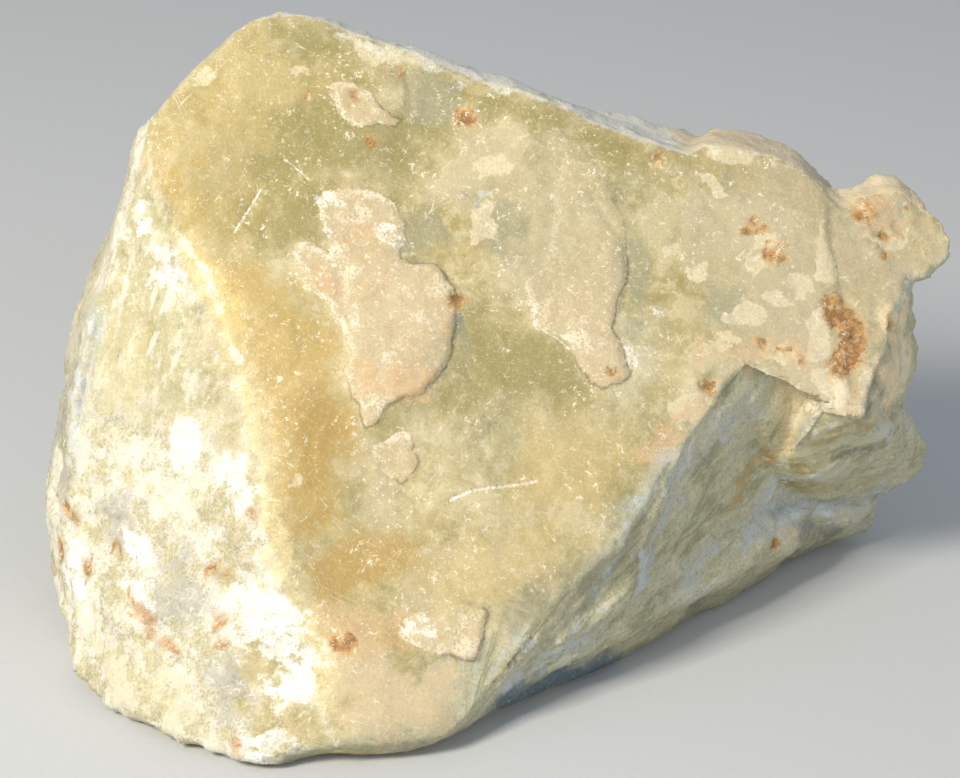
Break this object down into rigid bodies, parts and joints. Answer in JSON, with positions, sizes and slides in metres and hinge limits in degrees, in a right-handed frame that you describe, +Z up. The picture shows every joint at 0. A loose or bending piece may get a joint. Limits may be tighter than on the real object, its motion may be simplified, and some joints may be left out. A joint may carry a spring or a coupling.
{
  "type": "raw serpentine specimen",
  "caption": "Rough hand-sized lump of serpentine with one big flat split face, for display, study or stone scenery.",
  "frame": {"origin": "on the floor, under the middle of the lump's bounding box", "axes": "+X along the lump's length, towards its blunt end with the knob; -Y towards the big split face; +Z up"},
  "size_m": [0.1276, 0.0818, 0.082],
  "materials": {
    "serpentine": "satin"
  },
  "bodies": {
    "root": {"serpentine": "serpentine"}
  },
  "joints": []
}
